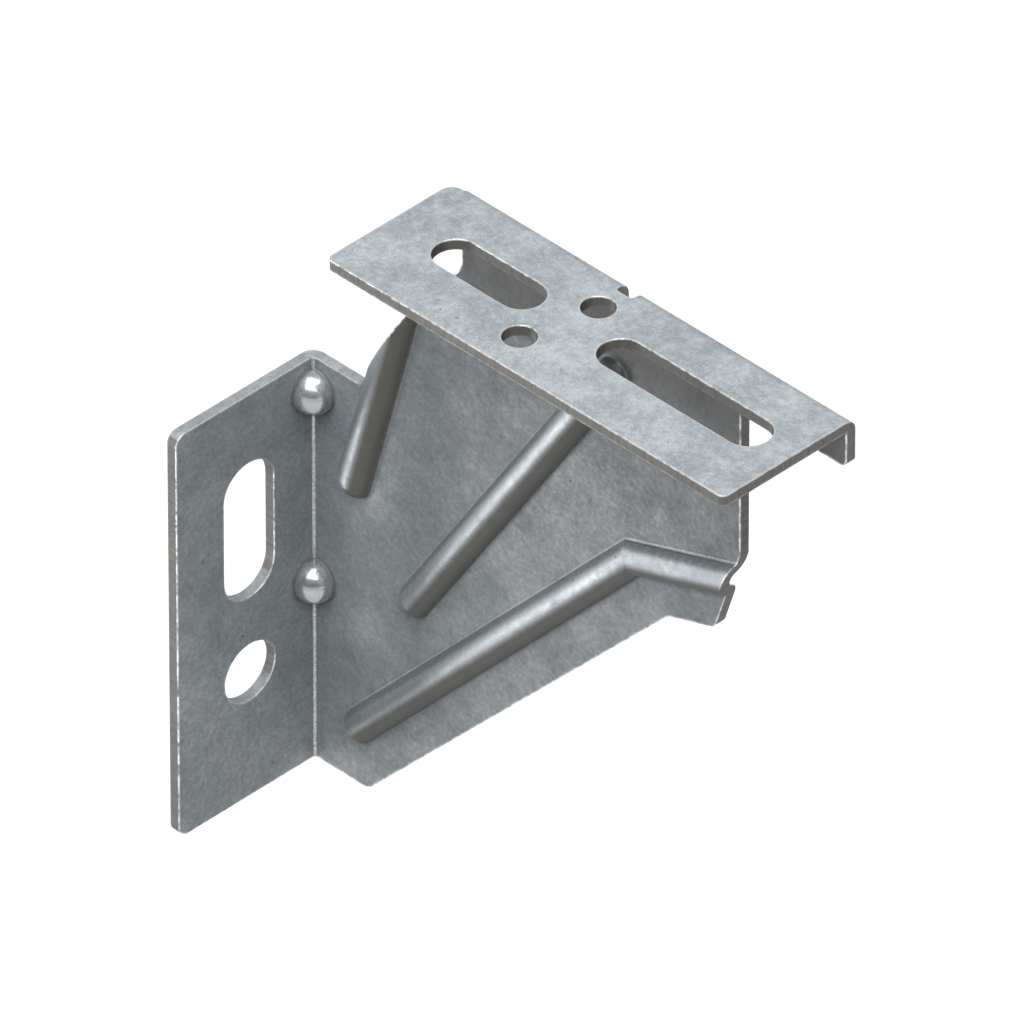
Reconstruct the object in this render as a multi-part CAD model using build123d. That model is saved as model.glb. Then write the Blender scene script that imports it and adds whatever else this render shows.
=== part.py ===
from build123d import *
import os
from math import atan2, cos, degrees, radians, sin, tan

# Wall mounting bracket, pressed from one galvanised steel sheet: a wall flange, a web that stands
# out from it, and a top plate folded off the web. Millimetres. X runs out from the wall, Z is up,
# and Y runs along the wall, from the free edge of the flange towards the web. The origin is the
# centre of the round fixing hole, on the face that lies on the wall.

# Sheet
sheet = 2.5              # gauge
flange_bend = 0.75       # inner radius of the fold between flange and web
plate_bend = 0.3         # inner radius of the fold between web and plate

# Wall flange
flange_height = 100.0
flange_width = 40.5      # from its free edge to the outer face of the web
flange_corner = 2.5      # outer corners
hole_from_web = 20.5     # fixing hole and slot, from the outer face of the web
hole_from_bottom = 31.0
wall_hole_diameter = 14.0
wall_slot_width = 14.0
wall_slot_length = 33.5
slot_above_hole = 35.5   # centre to centre

# Top plate
plate_rise = 63.0        # top face above the top of the flange
plate_start = 41.0       # left end, from the wall
plate_end = 150.0        # right end, from the wall
plate_width = 36.5       # from its front edge to the outer face of the web
plate_front_corner = 1.5
plate_back_corner = 3.0  # free corner beside the start of the fold
free_corner_gap = 2.0    # from the outer face of the web to the back edge of the free corner
slot_line = 17.75        # both slots, from the outer face of the web
plate_slot_width = 10.0
short_slot_length = 28.0
short_slot_centre = 67.15    # from the wall
long_slot_length = 44.6
long_slot_centre = 121.0     # from the wall
plate_hole_diameter = 7.2
plate_hole_x = 87.7          # middle of the pair, from the wall
plate_hole_from_web = 19.0   # middle of the pair, from the outer face of the web
plate_hole_pitch = 18.0
plate_hole_turn = 76.5       # line of the pair, in degrees from X

# Relief notch in the top fold
notch_start = 88.0       # from the wall
notch_width = 4.5
notch_depth = 3.7        # into the plate, from the outer face of the web
notch_drop = 6.0         # down the web, from the top face
notch_corner = 0.8

# Lip: the folded edge that runs on past the web
lip_height = 11.0        # from the top face of the plate
lip_corner = 1.5
lip_root = 3.0           # round between the lip and the right edge of the web

# Outline of the web
web_left = 44.3          # upright edge under the start of the plate, from the wall
web_right = 121.2        # upright edge at the right, from the wall
left_step = 15.5         # end of the level edge beside the flange, from the wall
left_lower_angle = 60.0  # slope of the left edge, lower part
left_upper_angle = 45.0  # slope of the left edge, upper part
left_knee = 36.0         # where the two slopes meet, from the wall
toe_length = 17.7        # end of the level bottom edge, from the wall
slope_angle = 46.8       # long bottom edge
slope_end = 101.5        # where it turns, from the wall
tail_angle = 18.0        # short bottom edge after the turn
tail_end = 114.5         # from the wall
right_knee_height = 114.5    # foot of the upright right edge, above the bottom of the flange
step_round = 1.5
left_knee_round = 10.0
left_top_round = 6.0
toe_round = 4.0
slope_round = 5.0
tail_round = 3.0
right_knee_round = 2.0

# Beads, pressed out of the web towards the open side. Places are from the wall and above the
# bottom of the flange, angles are from X, and lengths run between centres of the closed ends.
bead_foot = 0.6          # inner radius where a bead leaves the flat
bead_width = 8.8         # middle and long beads, across the flat of the web
bead_height = 3.0
short_bead_width = 9.4
short_bead_height = 3.5
short_bead_start = (14.7, 76.3)
short_bead_angle = 74.7
middle_bead_start = (31.3, 54.9)
middle_bead_angle = 57.25
middle_bead_length = 102.0
long_bead_start = (15.6, 14.9)
long_bead_angle = 47.6
long_bead_length = 113.5          # to its bend
long_bead_end_angle = 18.6        # after the bend

# Corner dimples, driven into the flange fold from outside by a round-nosed punch
dimple_radius = 5.0      # of the ball that shows inside
dimple_wall = 2.0        # stretched metal over the punch
dimple_stand = 1.0       # centre of the ball in front of both inner faces
dimple_drops = (7.4, 54.6)   # centres below the top of the flange

# Planes and levels that follow from the sizes
flange_bend_outer = flange_bend + sheet
plate_bend_outer = plate_bend + sheet
web_back = hole_from_web
web_front = web_back - sheet
flange_edge = web_back - flange_width
bottom = -hole_from_bottom
top = bottom + flange_height
plate_top = top + plate_rise
fold_line = plate_top - plate_bend_outer
web_plane = Plane((0, 0, 0), x_dir=(1, 0, 0), z_dir=(0, -1, 0))      # the web drawn as (X, Z)
flange_plane = Plane((0, 0, 0), x_dir=(0, 1, 0), z_dir=(1, 0, 0))    # the flange drawn as (Y, Z)


def rounded(corners):
    """Flat face through corners given as (point, radius); a radius of 0 leaves a corner sharp."""
    face = make_face(Polyline(*[point for point, radius in corners], close=True))
    for point, radius in corners:
        if radius:
            corner = face.vertices().sort_by_distance(Vector(*point))[0]
            face = fillet(corner, radius)
    return face


def slab(face, plane, start, end):
    """Solid from a face drawn in the plane, between two distances along the plane's normal."""
    return extrude(plane.offset(start) * face, end - start)


def fold(plane, inner, length):
    """Quarter ring of bent sheet; the plane's origin is the sharp outer corner it replaces."""
    outer = inner + sheet
    centre = Pos(outer, outer)
    quarter = Pos(outer / 2, outer / 2) * Rectangle(outer, outer)
    ring = (centre * Circle(outer) & quarter) - centre * Circle(inner)
    return extrude(plane * ring, length)


def flange():
    """Flat of the wall flange, with its slot and round hole."""
    outline = rounded([
        ((flange_edge, bottom), flange_corner),
        ((web_back - flange_bend_outer, bottom), 0),
        ((web_back - flange_bend_outer, top), 0),
        ((flange_edge, top), flange_corner),
    ])
    outline -= Circle(wall_hole_diameter / 2)
    outline -= Pos(0, slot_above_hole) * SlotOverall(wall_slot_length, wall_slot_width, rotation=90)
    return slab(outline, flange_plane, 0, sheet)


def flange_fold():
    """Fold between the flange and the web."""
    corner = Plane((0, web_back, bottom), x_dir=(0, -1, 0), z_dir=(0, 0, 1))
    return fold(corner, flange_bend, flange_height)


def plate():
    """Flat of the top plate, with its two slots, two holes and free back corner."""
    front = web_back - plate_width
    back = web_back - plate_bend_outer
    free_back = web_back - free_corner_gap
    outline = rounded([
        ((plate_start, front), plate_front_corner),
        ((plate_end, front), plate_front_corner),
        ((plate_end, back), 0),
        ((web_left, back), 0),
        ((web_left, free_back), 0),
        ((plate_start, free_back), plate_back_corner),
    ])
    line = web_back - slot_line
    outline -= Pos(short_slot_centre, line) * SlotOverall(short_slot_length, plate_slot_width)
    outline -= Pos(long_slot_centre, line) * SlotOverall(long_slot_length, plate_slot_width)
    pair = Pos(plate_hole_x, web_back - plate_hole_from_web) * Rot(Z=plate_hole_turn)
    for side in (-1, 1):
        outline -= pair * Pos(side * plate_hole_pitch / 2, 0) * Circle(plate_hole_diameter / 2)
    return slab(outline, Plane.XY, plate_top - sheet, plate_top)


def plate_fold():
    """Fold between the web and the plate, on to the end of the lip."""
    corner = Plane((plate_end, web_back, plate_top), x_dir=(0, 0, -1), z_dir=(-1, 0, 0))
    return fold(corner, plate_bend, plate_end - web_left)


def relief_notch():
    """Tool that cuts the relief notch through the top fold."""
    floor = plate_top - notch_drop
    front = web_back - notch_depth
    face = Pos(notch_start + notch_width / 2, front + notch_depth) * RectangleRounded(
        notch_width, 2 * notch_depth, notch_corner
    )
    return slab(face, Plane.XY, floor, plate_top + sheet)


def web_outline():
    """Outline of the flat of the web and lip, from the flange fold to the top fold."""
    slope_top = bottom + (slope_end - toe_length) * tan(radians(slope_angle))
    tail_top = slope_top + (tail_end - slope_end) * tan(radians(tail_angle))
    left_mid = top + (left_knee - left_step) * tan(radians(left_lower_angle))
    left_top = left_mid + (web_left - left_knee) * tan(radians(left_upper_angle))
    return rounded([
        ((flange_bend_outer, bottom), 0),
        ((toe_length, bottom), toe_round),
        ((slope_end, slope_top), slope_round),
        ((tail_end, tail_top), tail_round),
        ((web_right, bottom + right_knee_height), right_knee_round),
        ((web_right, plate_top - lip_height), lip_root),
        ((plate_end, plate_top - lip_height), lip_corner),
        ((plate_end, fold_line), 0),
        ((web_left, fold_line), 0),
        ((web_left, left_top), left_top_round),
        ((left_knee, left_mid), left_knee_round),
        ((left_step, top), step_round),
        ((flange_bend_outer, top), 0),
    ])


def bead_half(width, height, face, base):
    """Right half of the area under a face of a bead, across it and out of the sheet.

    The face is 0 for the inner face of the web and the gauge for the outer one. Both are arcs
    about the same two centres, so the sheet keeps its gauge all the way round.
    """
    foot_offset = width / 2
    nose = (foot_offset**2 + height**2 - 2 * bead_foot * height) / (2 * height)
    crest_centre = height - nose
    lean = degrees(atan2(foot_offset, bead_foot - crest_centre))
    foot = CenterArc((foot_offset, bead_foot), bead_foot + face, 270, -lean)
    crest = CenterArc((0, crest_centre), nose - face, 90 - lean, lean)
    return make_face([
        Line((0, base), (foot_offset, base)),
        Line((foot_offset, base), foot @ 0),
        foot,
        crest,
        Line(crest @ 1, (0, base)),
    ])


def on_web(point):
    """Place on the inner face of the web, from a point given from the wall and flange bottom."""
    return Vector(point[0], web_front, bottom + point[1])


def heading(angle):
    """Direction in the plane of the web, at an angle from X."""
    return Vector(cos(radians(angle)), 0, sin(radians(angle)))


out_of_web = Vector(0, -1, 0)


def bead_leg(half, start, angle, length):
    """Straight stretch under one face of a bead."""
    run = heading(angle)
    across = Plane(start, x_dir=out_of_web.cross(run), z_dir=run)
    return extrude(across * (half + mirror(half, Plane.YZ)), length)


def bead_end(half, centre, angle):
    """Closed end under one face of a bead: the half section turned half round, facing an angle."""
    away = heading(angle)
    side = Plane(centre, x_dir=away.cross(out_of_web), z_dir=-away)
    return revolve(side * half, Axis(centre, out_of_web), 180)


def short_bead(half):
    """Closed at its foot, and running off through the left edge of the web."""
    start = on_web(short_bead_start)
    length = (plate_top - start.Z) / sin(radians(short_bead_angle))
    return bead_leg(half, start, short_bead_angle, length) + bead_end(
        half, start, short_bead_angle + 180
    )


def middle_bead(half):
    """Closed at both ends."""
    start = on_web(middle_bead_start)
    far = start + heading(middle_bead_angle) * middle_bead_length
    return (
        bead_leg(half, start, middle_bead_angle, middle_bead_length)
        + bead_end(half, start, middle_bead_angle + 180)
        + bead_end(half, far, middle_bead_angle)
    )


def long_bead(half):
    """Closed at its foot, bent with a mitre, and running off through the right edge of the web."""
    start = on_web(long_bead_start)
    knee = start + heading(long_bead_angle) * long_bead_length
    mitre = Plane(knee, z_dir=heading((long_bead_angle + long_bead_end_angle) / 2))
    rise = bead_leg(half, start, long_bead_angle, long_bead_length + bead_width)
    tail_start = knee - heading(long_bead_end_angle) * bead_width
    tail = bead_leg(half, tail_start, long_bead_end_angle, plate_end - knee.X)
    return (
        split(rise, bisect_by=mitre, keep=Keep.BOTTOM)
        + split(tail, bisect_by=mitre, keep=Keep.TOP)
        + bead_end(half, start, long_bead_angle + 180)
    )


def beads(face, base):
    """Solids under one face of the three beads, down to a level inside or past the sheet."""
    short_half = bead_half(short_bead_width, short_bead_height, face, base)
    half = bead_half(bead_width, bead_height, face, base)
    return [short_bead(short_half), middle_bead(half), long_bead(half)]


def web():
    """Flat of the web and lip with the beads pressed into it, cut to its outline."""
    outline = web_outline()
    body = slab(outline, web_plane, -web_back, -web_front)
    highest = max(bead_height, short_bead_height)
    blank = slab(outline, web_plane, -web_back, highest - web_front)
    for bead in beads(0, -sheet / 2):
        body += bead & blank
    for groove in beads(sheet, -2 * sheet):
        body -= groove
    return body


def dimple_places():
    """Centres of the balls that the corner dimples show inside."""
    reach = sheet + dimple_stand
    return [Pos(reach, web_back - reach, top - drop) for drop in dimple_drops]


def dimple_ball():
    """Ball of one dimple, kept to the inner half of both sheets."""
    inset = dimple_stand + sheet / 2
    reach = inset + dimple_radius
    inner = Box(reach, reach, 2 * dimple_radius, align=(Align.MIN, Align.MAX, Align.CENTER))
    return Sphere(dimple_radius) & Pos(-inset, inset) * inner


def punch():
    """Round-nosed punch that hollows a dimple from outside, along the diagonal of the fold."""
    radius = dimple_radius - dimple_wall
    outward = Plane((0, 0, 0), z_dir=(-1, 1, 0))
    return Sphere(radius) + extrude(outward * Circle(radius), flange_width)


def bracket():
    """The whole folded sheet."""
    body = flange() + flange_fold() + web() + plate_fold() + plate()
    for place in dimple_places():
        body += place * dimple_ball()
    for place in dimple_places():
        body -= place * punch()
    return body - relief_notch()


os.makedirs("parts", exist_ok=True)
export_step(bracket(), "parts/bracket.step")
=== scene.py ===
import math

import bpy
from mathutils import Matrix, Vector


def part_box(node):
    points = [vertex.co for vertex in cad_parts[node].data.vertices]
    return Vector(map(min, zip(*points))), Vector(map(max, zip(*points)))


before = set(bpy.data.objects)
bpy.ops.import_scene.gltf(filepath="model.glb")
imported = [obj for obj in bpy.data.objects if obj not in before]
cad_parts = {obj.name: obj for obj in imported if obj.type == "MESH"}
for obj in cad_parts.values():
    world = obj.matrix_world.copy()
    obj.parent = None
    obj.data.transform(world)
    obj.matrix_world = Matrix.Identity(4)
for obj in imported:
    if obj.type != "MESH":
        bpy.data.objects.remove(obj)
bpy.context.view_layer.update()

# The bracket: one steel sheet, blanked in a die, pressed with three beads and two corner dimples,
# folded twice, and then dipped whole in molten zinc. The sheet stays as the CAD has it, and only
# its finish is made here.
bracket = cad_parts["bracket"]
low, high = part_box("bracket")

# Hot-dip galvanised steel, some months old. The bath leaves a grey skin of small soft-edged
# crystals, and the air turns it dull: a thin layer of zinc carbonate over metal, so it shines
# only in part. Its look goes by the place on the sheet, and by the way the sheet faces there.


def add(tree, kind, settings=None, inputs=None):
    """Adds a node of a kind, with its settings, and its inputs as values or links."""
    node = tree.nodes.new("ShaderNode" + kind)
    for name, value in (settings or {}).items():
        setattr(node, name, value)
    for socket, value in (inputs or {}).items():
        if isinstance(value, bpy.types.Node):
            value = value.outputs[0]
        if isinstance(value, bpy.types.NodeSocket):
            tree.links.new(value, node.inputs[socket])
        else:
            node.inputs[socket].default_value = value
    return node


zinc = bpy.data.materials.new("hot_dip_galvanised_steel")
zinc.use_nodes = True
tree = zinc.node_tree
tree.nodes.clear()
place = add(tree, "TexCoord").outputs["Object"]
at = add(tree, "SeparateXYZ", inputs={0: place}).outputs
surface = add(tree, "NewGeometry").outputs
slope = add(tree, "SeparateXYZ", inputs={0: surface["Normal"]}).outputs
facing = add(tree, "VectorMath", {"operation": "ABSOLUTE"}, {0: surface["True Normal"]})
facing = add(tree, "SeparateXYZ", inputs={0: facing}).outputs

# The mottle of the zinc, from the widest dull patches down to the tooth of the skin, each by the
# width of one spot. It shows more on the level faces, which the weather reaches first.
MM = 0.001
PATCH = 22.0 * MM
CLOUD = 5.0 * MM
FLECK = 1.3 * MM
TOOTH = 0.40 * MM
LEVEL_FROM = 0.6                         # upright part of the normal, from where a face is level


def linear(colour):
    """Linear RGBA from an sRGB hex colour."""
    parts = [int(colour[i:i + 2], 16) / 255 for i in (1, 3, 5)]
    return [c / 12.92 if c <= 0.04045 else ((c + 0.055) / 1.055) ** 2.4 for c in parts] + [1.0]


patch, cloud, fleck, tooth = [
    add(tree, "TexNoise", inputs={
        "Vector": place, "Scale": 1 / spot, "Detail": detail, "Roughness": roughness,
        "Distortion": distortion})
    for spot, detail, roughness, distortion in (
        (PATCH, 2.0, 0.5, 0.6), (CLOUD, 3.0, 0.55, 0.2), (FLECK, 2.0, 0.6, 0.0), (TOOTH, 1.0, 0.6, 0.0))]
mottle = add(tree, "Math", {"operation": "MULTIPLY"}, {0: patch, 1: 0.20})
for layer, share in ((cloud, 0.26), (fleck, 0.30), (tooth, 0.24)):
    mottle = add(tree, "Math", {"operation": "MULTIPLY_ADD"}, {0: layer, 1: share, 2: mottle})
level = add(tree, "Math", {"operation": "GREATER_THAN"}, {0: facing["Z"], 1: LEVEL_FROM})
contrast = add(tree, "Math", {"operation": "MULTIPLY_ADD"}, {0: level, 1: 0.30, 2: 0.80})
mottle = add(tree, "Math", {"operation": "SUBTRACT"}, {0: mottle, 1: 0.5})
mottle = add(tree, "Math", {"operation": "MULTIPLY_ADD"}, {0: mottle, 1: contrast, 2: 0.5})
skin = add(tree, "ValToRGB", inputs={0: mottle})
shades = skin.color_ramp.elements
shades[0].position = 0.39
shades[0].color = linear("#727A7E")
shades[1].position = 0.61
shades[1].color = linear("#A2A7AA")
shades.new(0.5).color = linear("#8A9093")

# Pressed metal: whatever stands in front of the web between the flange and the plate, which is
# the beads and the dimples. The punch ironed the mottle out of it, so it is even and shines more.
SHEET = 2.5 * MM
WEB_FACE = high.y - SHEET                # inner face of the web
PLATE_FACE = high.z - SHEET              # under side of the top plate
FLANGE_FACE = low.x + SHEET              # inner face of the wall flange
DIMPLE_END = FLANGE_FACE + 6.5 * MM      # where the dimples have run out on the web
EASED = {"interpolation_type": "SMOOTHSTEP"}
proud = add(tree, "MapRange", EASED, {0: at["Y"], 1: WEB_FACE - 0.10 * MM, 2: WEB_FACE - 0.9 * MM})
off_flange = add(tree, "Math", {"operation": "GREATER_THAN"}, {0: at["X"], 1: FLANGE_FACE + 0.15 * MM})
under_plate = add(tree, "Math", {"operation": "LESS_THAN"}, {0: at["Z"], 1: PLATE_FACE - 0.3 * MM})
in_corner = add(tree, "Math", {"operation": "LESS_THAN"}, {0: at["X"], 1: DIMPLE_END})
pressed = add(tree, "Math", {"operation": "MULTIPLY"}, {0: proud, 1: off_flange})
pressed = add(tree, "Math", {"operation": "MULTIPLY"}, {0: pressed, 1: under_plate})
dimple = add(tree, "Math", {"operation": "MULTIPLY"}, {0: pressed, 1: in_corner})
beads = add(tree, "Math", {"operation": "SUBTRACT"}, {0: pressed, 1: dimple})
even = add(tree, "Math", {"operation": "MULTIPLY"}, {0: pressed, 1: 0.25})

# Cut faces, left by the die: the walls of the sheet, browner than the rest and faintly streaked
# across the gauge. They are found by the way each part of the sheet faces. The streaks are about
# 0.1 mm apart on the real edge and are drawn up to 1 mm apart to show.
STREAK = 1.0 * MM
FOLD = 0.8 * MM                          # inner radius of the folds
SIDEWAYS = 0.2                           # most that a cut face looks the way its sheet does
END_ON = 0.9                             # least that the cut ends of the web look along it
near_flange = add(tree, "Math", {"operation": "LESS_THAN"}, {0: at["X"], 1: FLANGE_FACE + 0.1 * MM})
before_web = add(tree, "Math", {"operation": "LESS_THAN"}, {0: at["Y"], 1: WEB_FACE - FOLD})
over_plate = add(tree, "Math", {"operation": "GREATER_THAN"}, {0: at["Z"], 1: PLATE_FACE - 0.1 * MM})
below_fold = add(tree, "Math", {"operation": "LESS_THAN"}, {0: at["Z"], 1: PLATE_FACE - FOLD})
clear_of_folds = add(tree, "Math", {"operation": "GREATER_THAN"}, {0: at["X"], 1: DIMPLE_END})
wall_x, wall_y, wall_z = [
    add(tree, "Math", {"operation": "LESS_THAN"}, {0: facing[axis], 1: SIDEWAYS}) for axis in "XYZ"]
flange_cut = add(tree, "Math", {"operation": "MULTIPLY"}, {0: near_flange, 1: before_web})
flange_cut = add(tree, "Math", {"operation": "MULTIPLY"}, {0: flange_cut, 1: wall_x})
plate_cut = add(tree, "Math", {"operation": "MULTIPLY"}, {0: over_plate, 1: before_web})
plate_cut = add(tree, "Math", {"operation": "MULTIPLY"}, {0: plate_cut, 1: wall_z})
web_cut = add(tree, "Math", {"operation": "MULTIPLY"}, {0: clear_of_folds, 1: below_fold})
web_cut = add(tree, "Math", {"operation": "MULTIPLY"}, {0: web_cut, 1: wall_y})
end_cut = add(tree, "Math", {"operation": "GREATER_THAN"}, {0: facing["X"], 1: END_ON})
end_cut = add(tree, "Math", {"operation": "MULTIPLY"}, {0: end_cut, 1: clear_of_folds})
web_cut = add(tree, "Math", {"operation": "MAXIMUM"}, {0: web_cut, 1: end_cut})
cut = add(tree, "Math", {"operation": "MAXIMUM"}, {0: flange_cut, 1: plate_cut})
cut = add(tree, "Math", {"operation": "MAXIMUM"}, {0: cut, 1: web_cut})
upright = add(tree, "Math", {"operation": "MULTIPLY_ADD"}, {0: level, 1: -0.75, 2: 1.0})
cut = add(tree, "Math", {"operation": "MULTIPLY"}, {0: cut, 1: upright})
along_x = add(tree, "Math", {"operation": "SUBTRACT"}, {0: 1.0, 1: flange_cut})
along_y = add(tree, "Math", {"operation": "MAXIMUM"}, {0: flange_cut, 1: plate_cut})
along_z = add(tree, "Math", {"operation": "SUBTRACT"}, {0: 1.0, 1: plate_cut})
along = add(tree, "CombineXYZ", inputs={0: along_x, 1: along_y, 2: along_z})
along = add(tree, "VectorMath", {"operation": "MULTIPLY"}, {0: place, 1: along})
streak = add(tree, "TexNoise", inputs={
    "Vector": along, "Scale": 1 / STREAK, "Detail": 3.0, "Roughness": 0.5})
sheared = add(tree, "ValToRGB", inputs={0: streak})
shades = sheared.color_ramp.elements
shades[0].position = 0.30
shades[0].color = linear("#585651")
shades[1].position = 0.74
shades[1].color = linear("#76736D")

# The slots and holes of the plate, punched through it. Their walls are painted darker than the other
# cut faces, a painted shade for the inside of the bores, and the bright line on their lower rims is
# dimmed.
SLOT_LINE = high.y - 17.75 * MM          # middle of the slots, across the plate
PLATE_MIDDLE = high.x - 54.5 * MM
SLOTS_REACH = 50 * MM                    # from the middle of the plate to past the slots
SLOTS_ASIDE = 13 * MM                    # from the middle of the slots to past the holes
near_slots = add(tree, "Math", {"operation": "COMPARE"}, {0: at["X"], 1: PLATE_MIDDLE, 2: SLOTS_REACH})
on_line = add(tree, "Math", {"operation": "COMPARE"}, {0: at["Y"], 1: SLOT_LINE, 2: SLOTS_ASIDE})
slots = add(tree, "Math", {"operation": "MULTIPLY"}, {0: near_slots, 1: on_line})
dulled = add(tree, "Math", {"operation": "MULTIPLY_ADD"}, {0: slots, 1: 0.40, 2: 0.45})
# painted shade: the walls of the slots and holes are darkened, standing in for the shade inside them
painted_bore_shade = add(tree, "Math", {"operation": "MULTIPLY"}, {0: slots, 1: plate_cut})
painted_bore_shade = add(tree, "Math", {"operation": "MULTIPLY"}, {0: painted_bore_shade, 1: 0.65})

# Outer edges, which the zinc rounds a little. The uneven bright line along them is partly wear from
# handling and partly a painted highlight: brighter on edges that face up, faint on those that face
# down or lie at the back of the sheet, and only in part on the lower rims of the plate.
EDGE = 0.30 * MM                         # radius that the zinc gives an edge
RIM = 0.42 * MM                          # width of the bright line
soft_edge = add(tree, "Bevel", {"samples": 4}, {"Radius": EDGE})
rim = add(tree, "AmbientOcclusion", {"samples": 4, "inside": True, "only_local": True}, {"Distance": RIM})
# partly edge wear and partly painted highlight: a bright line on the outer edges, strongest where they
# face up
rubbed_and_highlit = add(tree, "MapRange", EASED, {0: rim.outputs["AO"], 1: 0.97, 2: 0.60})
uneven = add(tree, "MapRange", inputs={0: fleck, 1: 0.30, 2: 0.58, 3: 0.15, 4: 1.0})
turned = add(tree, "SeparateXYZ", inputs={0: soft_edge}).outputs
turned = add(tree, "MapRange", EASED, {0: turned["Z"], 1: -0.30, 2: -0.05, 3: 0.10, 4: 1.0})
off_wall = add(tree, "Math", {"operation": "GREATER_THAN"}, {0: at["X"], 1: low.x + 0.5 * SHEET})
off_back = add(tree, "Math", {"operation": "LESS_THAN"}, {0: at["Y"], 1: high.y - 0.5 * SHEET})
reached = add(tree, "Math", {"operation": "MULTIPLY"}, {0: off_wall, 1: off_back})
reached = add(tree, "MapRange", inputs={0: reached, 3: 0.15, 4: 1.0})
lower_rim = add(tree, "Math", {"operation": "COMPARE"}, {0: at["Z"], 1: PLATE_FACE, 2: 0.7 * MM})
lower_rim = add(tree, "Math", {"operation": "MULTIPLY"}, {0: lower_rim, 1: dulled})
lower_rim = add(tree, "Math", {"operation": "SUBTRACT"}, {0: 1.0, 1: lower_rim})
for share in (uneven, turned, reached, lower_rim):
    rubbed_and_highlit = add(tree, "Math", {"operation": "MULTIPLY"}, {0: rubbed_and_highlit, 1: share})

# Inner corners. Painted shade darkens them, except along the upper feet of the beads, where a thin
# painted highlight runs on the faces that turn up. A broken painted highlight runs along the inner side
# of the flange fold.
CREASE = 0.9 * MM                        # width of the painted crease shade
crease = add(tree, "AmbientOcclusion", {"samples": 4, "only_local": True}, {"Distance": CREASE})
crease = add(tree, "MapRange", EASED, {0: crease.outputs["AO"], 1: 0.95, 2: 0.55})
rising = add(tree, "MapRange", EASED, {0: slope["Z"], 1: 0.10, 2: 0.30})
# painted highlight: a thin bright line on the upward-facing crease at the upper feet of the beads
foot_highlight = add(tree, "Math", {"operation": "MULTIPLY"}, {0: crease, 1: rising})
foot_highlight = add(tree, "Math", {"operation": "MULTIPLY"}, {0: foot_highlight, 1: clear_of_folds})
# painted shade: inner corners and creases darkened by occlusion
painted_crease_shade = add(tree, "Math", {"operation": "SUBTRACT"}, {0: crease, 1: foot_highlight})
painted_crease_shade = add(tree, "Math", {"operation": "MULTIPLY"}, {0: painted_crease_shade, 1: 0.6})
foot_highlight = add(tree, "Math", {"operation": "MULTIPLY"}, {0: foot_highlight, 1: 0.7})
# painted highlight: a broken bright line along the inner side of the flange fold
fold_highlight = add(tree, "MapRange", EASED, {
    0: at["X"], 1: FLANGE_FACE + 0.75 * FOLD, 2: FLANGE_FACE + 0.5 * FOLD})
by_web = add(tree, "MapRange", EASED, {0: at["Y"], 1: WEB_FACE - 0.75 * FOLD, 2: WEB_FACE - 0.5 * FOLD})
fold_breakup = add(tree, "MapRange", inputs={0: tooth, 1: 0.35, 2: 0.65, 3: 0.20, 4: 0.60})
fold_x = add(tree, "Math", {"operation": "COMPARE"}, {
    0: at["X"], 1: FLANGE_FACE + 0.5 * FOLD, 2: 0.6 * FOLD})
fold_y = add(tree, "Math", {"operation": "COMPARE"}, {
    0: at["Y"], 1: WEB_FACE - 0.5 * FOLD, 2: 0.6 * FOLD})
for share in (by_web, fold_breakup, fold_x, fold_y):
    fold_highlight = add(tree, "Math", {"operation": "MULTIPLY"}, {0: fold_highlight, 1: share})
for bright in (fold_highlight, foot_highlight):
    rubbed_and_highlit = add(tree, "Math", {"operation": "MAXIMUM"}, {0: rubbed_and_highlit, 1: bright})

# The beads. Painted shade darkens and browns their sides that face down and out, and the web close
# under the plate. A painted highlight makes their crests a little brighter, and a thin dark line of
# painted shade runs along their feet.
BEAD_HEIGHT = 2.5 * MM
DOWN_AND_OUT = (0.75, 0.0, -0.66)        # the way that the sides painted darker look
SHADE_FROM = PLATE_FACE - 30 * MM
SHADE_FULL = PLATE_FACE - 10 * MM
# painted shade: the lower flanks of the beads darkened and browned by the way they face
painted_flank_shade = add(tree, "VectorMath", {"operation": "DOT_PRODUCT"}, {0: surface["Normal"], 1: DOWN_AND_OUT})
painted_flank_shade = add(tree, "MapRange", EASED, {0: painted_flank_shade.outputs["Value"], 1: -0.05, 2: 0.35, 3: 0.0, 4: 0.85})
painted_flank_shade = add(tree, "Math", {"operation": "MULTIPLY"}, {0: painted_flank_shade, 1: beads})
# painted highlight: the crests of the beads tinted brighter
crest_highlight = add(tree, "MapRange", EASED, {
    0: at["Y"], 1: WEB_FACE - 1.7 * MM, 2: WEB_FACE - BEAD_HEIGHT, 3: 0.0, 4: 0.25})
crest_highlight = add(tree, "Math", {"operation": "MULTIPLY"}, {0: crest_highlight, 1: beads})
# painted shade: a thin dark line along the feet of the beads
painted_foot_shade = add(tree, "Math", {"operation": "PINGPONG"}, {0: beads, 1: 0.5})
painted_foot_shade = add(tree, "MapRange", EASED, {0: painted_foot_shade, 1: 0.05, 2: 0.35, 3: 0.0, 4: 0.85})
painted_foot_shade = add(tree, "Math", {"operation": "MULTIPLY"}, {0: painted_foot_shade, 1: uneven})
open_side = add(tree, "MapRange", EASED, {0: slope["Y"], 1: -0.1, 2: -0.4})
# painted shade: the front of the web darkens towards the plate, under its overhang
painted_shade_under_plate = add(tree, "MapRange", EASED, {0: at["Z"], 1: SHADE_FROM, 2: SHADE_FULL, 3: 0.0, 4: 0.86})
for share in (open_side, under_plate):
    painted_shade_under_plate = add(tree, "Math", {"operation": "MULTIPLY"}, {0: painted_shade_under_plate, 1: share})

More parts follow.
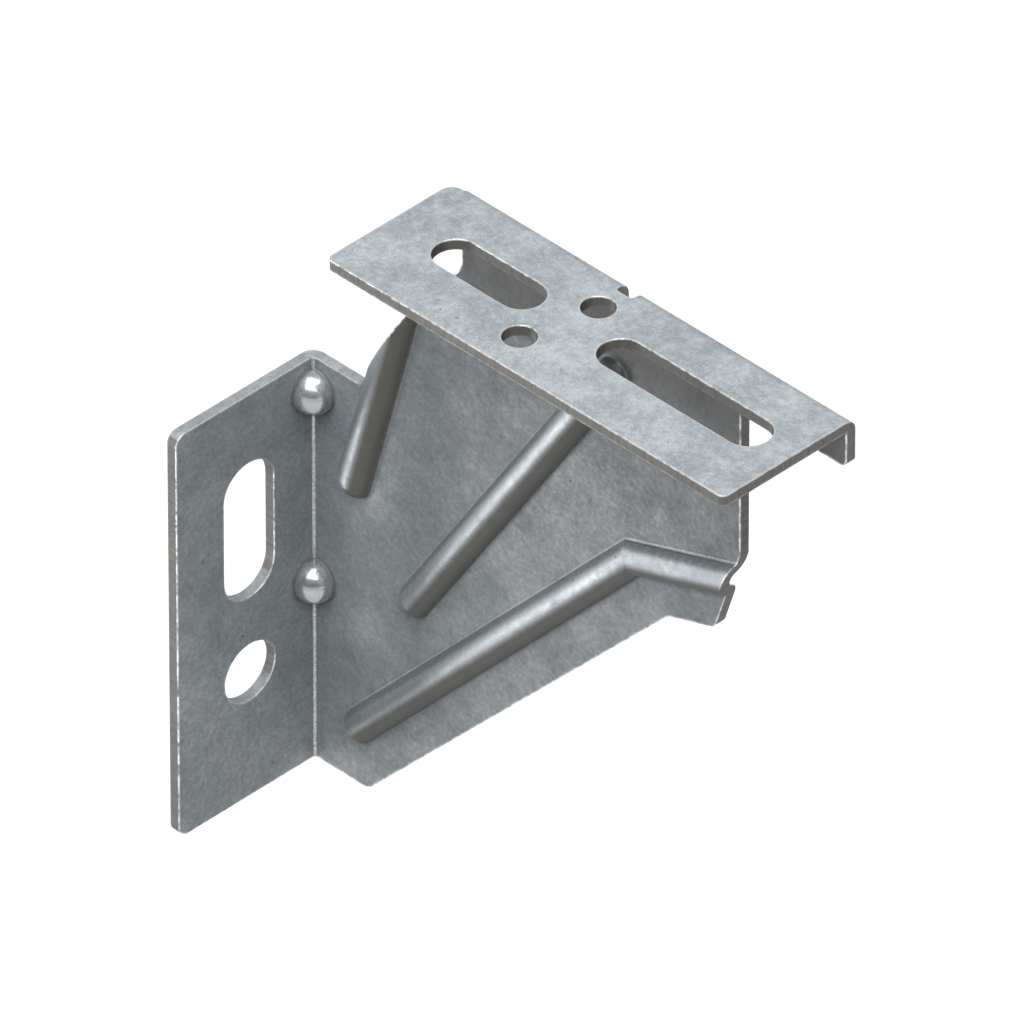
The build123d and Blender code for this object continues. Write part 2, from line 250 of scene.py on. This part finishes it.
# Dark specks of ash, which floats on the bath and clings to the sheet as it is drawn out. There
# are a few to the palm of a hand.
SPECK = 9.0 * MM                         # from one speck to the next
speck = add(tree, "TexVoronoi", inputs={"Vector": place, "Scale": 1 / SPECK, "Randomness": 1.0})
speck = add(tree, "MapRange", EASED, {0: speck.outputs["Distance"], 1: 0.055, 2: 0.02, 3: 0.0, 4: 0.7})

# The colour of the zinc: its mottled skin, and over it, in this order, the pressed metal, the painted
# highlight on the crests, the dimples, the painted shade under the plate, on the lower bead flanks and
# along the feet, the cut faces, the painted shade in the bores and creases, the bright edge and fold
# lines that are part wear and part painted highlight, and the ash specks.
COLOUR = {"data_type": "RGBA"}
tint = skin.outputs["Color"]
# layers of real tone, wear and dirt, mixed with painted shade and painted highlights
for share, colour in (
        (even, linear("#7C8184")),
        (crest_highlight, linear("#C2C6C8")),
        (dimple, linear("#A6AAAD")),
        (painted_shade_under_plate, linear("#3B3A35")),
        (painted_flank_shade, linear("#4C4A40")),
        (painted_foot_shade, linear("#4A4B48")),
        (cut, sheared),
        (painted_bore_shade, linear("#33322D")),
        (painted_crease_shade, linear("#4F504D")),
        (rubbed_and_highlit, linear("#E4E6E7")),
        (speck, linear("#4A4C4C"))):
    tint = add(tree, "Mix", COLOUR, {0: share, 6: tint, 7: colour}).outputs[2]

# How much of the surface is bare metal, and how smooth it is. The dull skin has little metal in it
# and is rough. The pressed parts and the bright edge lines are nearly bare and smoother; where shade is
# painted on the bead flanks and under the plate they are duller.
metal = add(tree, "MapRange", inputs={0: mottle, 1: 0.40, 2: 0.60, 3: 0.03, 4: 0.18})
ironed = add(tree, "MapRange", inputs={0: mottle, 1: 0.42, 2: 0.58, 3: 0.50, 4: 0.78})
ironed = add(tree, "Mix", inputs={0: painted_flank_shade, 2: ironed, 3: 0.20})
metal = add(tree, "Mix", inputs={0: pressed, 2: metal, 3: ironed})
metal = add(tree, "Mix", inputs={0: painted_shade_under_plate, 2: metal, 3: 0.05})
metal = add(tree, "Math", {"operation": "MAXIMUM"}, {0: metal, 1: rubbed_and_highlit})
rough = add(tree, "MapRange", inputs={0: mottle, 1: 0.40, 2: 0.60, 3: 0.62, 4: 0.46})
smooth = add(tree, "MapRange", inputs={0: mottle, 1: 0.42, 2: 0.58, 3: 0.49, 4: 0.40})
smooth = add(tree, "Mix", inputs={0: painted_flank_shade, 2: smooth, 3: 0.62})
for share, roughness in ((pressed, smooth), (dimple, 0.20), (rubbed_and_highlit, 0.28)):
    rough = add(tree, "Mix", inputs={0: share, 2: rough, 3: roughness})

# The zinc's skin has a tooth a few hundredths of a millimetre deep, on flecks half as deep again,
# and it covers the rounded edges too. The punch ironed the flecks nearly flat, so the beads have
# a finer grain, and the dimples less of it.
DEPTH = 0.03 * MM
flecked = add(tree, "MapRange", inputs={0: pressed, 3: 1.5, 4: 0.3})
relief = add(tree, "Math", {"operation": "MULTIPLY_ADD"}, {0: fleck, 1: flecked, 2: tooth})
grip = add(tree, "MapRange", inputs={0: pressed, 3: 0.40, 4: 0.55})
grip = add(tree, "Mix", inputs={0: dimple, 2: grip, 3: 0.25})
relief = add(tree, "Bump", inputs={
    "Strength": grip, "Distance": DEPTH, "Height": relief, "Normal": soft_edge})
shader = add(tree, "BsdfPrincipled", inputs={
    "Base Color": tint, "Metallic": metal, "Roughness": rough, "Normal": relief})
add(tree, "OutputMaterial", inputs={"Surface": shader})
bracket.material_slots[0].material = zinc

# The floor: pale seamless studio paper, far enough below the bracket for a soft shadow. The
# camera and shiny things see it white; in its soft bounce it counts as the grey card under it.
# Away from the bracket, where no shadow falls, they see the bare white of the sweep.
DROP = 0.25
HALF_WIDTH = 12.0
WHITE_FROM = 0.7                         # how far from the bracket the bare white begins
WHITE_FULL = 1.7


def seen_white(tree):
    """One for the rays that see the white: those of the camera, and of shiny and clear things."""
    ray = add(tree, "LightPath").outputs
    seen = ray["Is Camera Ray"]
    for other in (ray["Is Glossy Ray"], ray["Is Transmission Ray"]):
        seen = add(tree, "Math", {"operation": "MAXIMUM"}, {0: seen, 1: other})
    return seen


floor_mesh = bpy.data.meshes.new("studio_paper")
floor_mesh.from_pydata([(x * HALF_WIDTH, y * HALF_WIDTH, low.z - DROP) for x, y in (
    (-1, -1), (1, -1), (1, 1), (-1, 1))], [], [(0, 1, 2, 3)])
floor = bpy.data.objects.new("studio_paper", floor_mesh)
bpy.context.collection.objects.link(floor)
paper = bpy.data.materials.new("white_seamless_paper")
paper.use_nodes = True
tree = paper.node_tree
tree.nodes.clear()
seen = seen_white(tree)
shade = add(tree, "Mix", COLOUR, {0: seen, 6: linear("#555555"), 7: linear("#FCFCFC")})
matt = add(tree, "BsdfDiffuse", inputs={"Color": shade.outputs[2]})
far = add(tree, "VectorMath", {"operation": "LENGTH"}, {0: add(tree, "TexCoord").outputs["Object"]})
far = add(tree, "MapRange", EASED, {0: far.outputs["Value"], 1: WHITE_FROM, 2: WHITE_FULL})
far = add(tree, "Math", {"operation": "MULTIPLY"}, {0: far, 1: seen})
sweep = add(tree, "Emission", inputs={"Color": linear("#FFFFFF"), "Strength": 1.0})
sweep = add(tree, "MixShader", inputs={0: far, 1: matt, 2: sweep})
add(tree, "OutputMaterial", inputs={"Surface": sweep})
floor_mesh.materials.append(paper)

# The studio lamps: a soft box overhead, towards the camera, an upright strip light in front on
# the left, which only draws the long highlights on the beads, and a dim card for the flange.
middle = (low + high) / 2


def soft_light(name, where, width, height, brightness):
    """A flat soft light that faces the bracket, as bright all over as asked."""
    lamp = bpy.data.lights.new(name, "AREA")
    lamp.shape = "RECTANGLE"
    lamp.size = width
    lamp.size_y = height
    lamp.energy = brightness * math.pi * width * height
    light = bpy.data.objects.new(name, lamp)
    light.location = where
    light.rotation_euler = (middle - where).to_track_quat("-Z", "Y").to_euler()
    light.visible_camera = False
    bpy.context.collection.objects.link(light)
    return light


soft_light("soft_box", Vector((0.32, -0.42, 1.32)), width=1.5, height=1.5, brightness=4.9)
strip = soft_light("strip_light", Vector((-0.27, -0.25, -0.02)), width=0.09, height=0.48, brightness=7.5)
strip.visible_diffuse = False
soft_light("fill_card", Vector((1.45, -0.10, 0.45)), width=1.2, height=1.2, brightness=0.32)

# The room: dim walls that grow brighter towards the ceiling. Past the end of the paper, below
# the horizon, it is seen as white as the paper.
world = bpy.data.worlds.new("room")
bpy.context.scene.world = world
world.use_nodes = True
tree = world.node_tree
upward = add(tree, "SeparateXYZ", inputs={0: add(tree, "TexCoord").outputs["Generated"]}).outputs["Z"]
dim = add(tree, "MapRange", inputs={0: upward, 1: 0.08, 2: 0.8, 3: 0.05, 4: 0.64})
below = add(tree, "Math", {"operation": "LESS_THAN"}, {0: upward, 1: 0.0})
below = add(tree, "Math", {"operation": "MULTIPLY"}, {0: below, 1: seen_white(tree)})
strength = add(tree, "Mix", inputs={0: below, 2: dim, 3: 1.0})
colour = add(tree, "Mix", COLOUR, {0: below, 6: linear("#FAFBFF"), 7: linear("#FFFFFF")})
background = tree.nodes["Background"].inputs
tree.links.new(strength.outputs[0], background["Strength"])
tree.links.new(colour.outputs[2], background["Color"])

# The camera looks down on the bracket from its open side, 45 degrees round and 37 degrees up. It
# stands far off and has a long lens, so that the edges of the bracket hardly converge.
DISTANCE = 5.869
PICTURE = 1024                           # width of the picture in pixels
FOCAL_LENGTH = 30000                     # in the same pixels
turn, rise = math.radians(44.95), math.radians(37.44)
away = Vector((math.cos(rise) * math.cos(turn), -math.cos(rise) * math.sin(turn), math.sin(rise)))
right = Vector((math.sin(turn), math.cos(turn), 0.0))
target = Vector((0.08167, -0.00542, 0.08585))
lens = bpy.data.cameras.new("long_lens")
lens.sensor_width = 36.0
lens.lens = FOCAL_LENGTH / PICTURE * lens.sensor_width
lens.clip_end = 50.0
camera = bpy.data.objects.new("long_lens", lens)
camera.matrix_world = Matrix.Translation(target + away * DISTANCE) @ Matrix(
    (right, away.cross(right), away)).transposed().to_4x4()
bpy.context.collection.objects.link(camera)
bpy.context.scene.camera = camera
bpy.context.scene.view_settings.view_transform = "Standard"
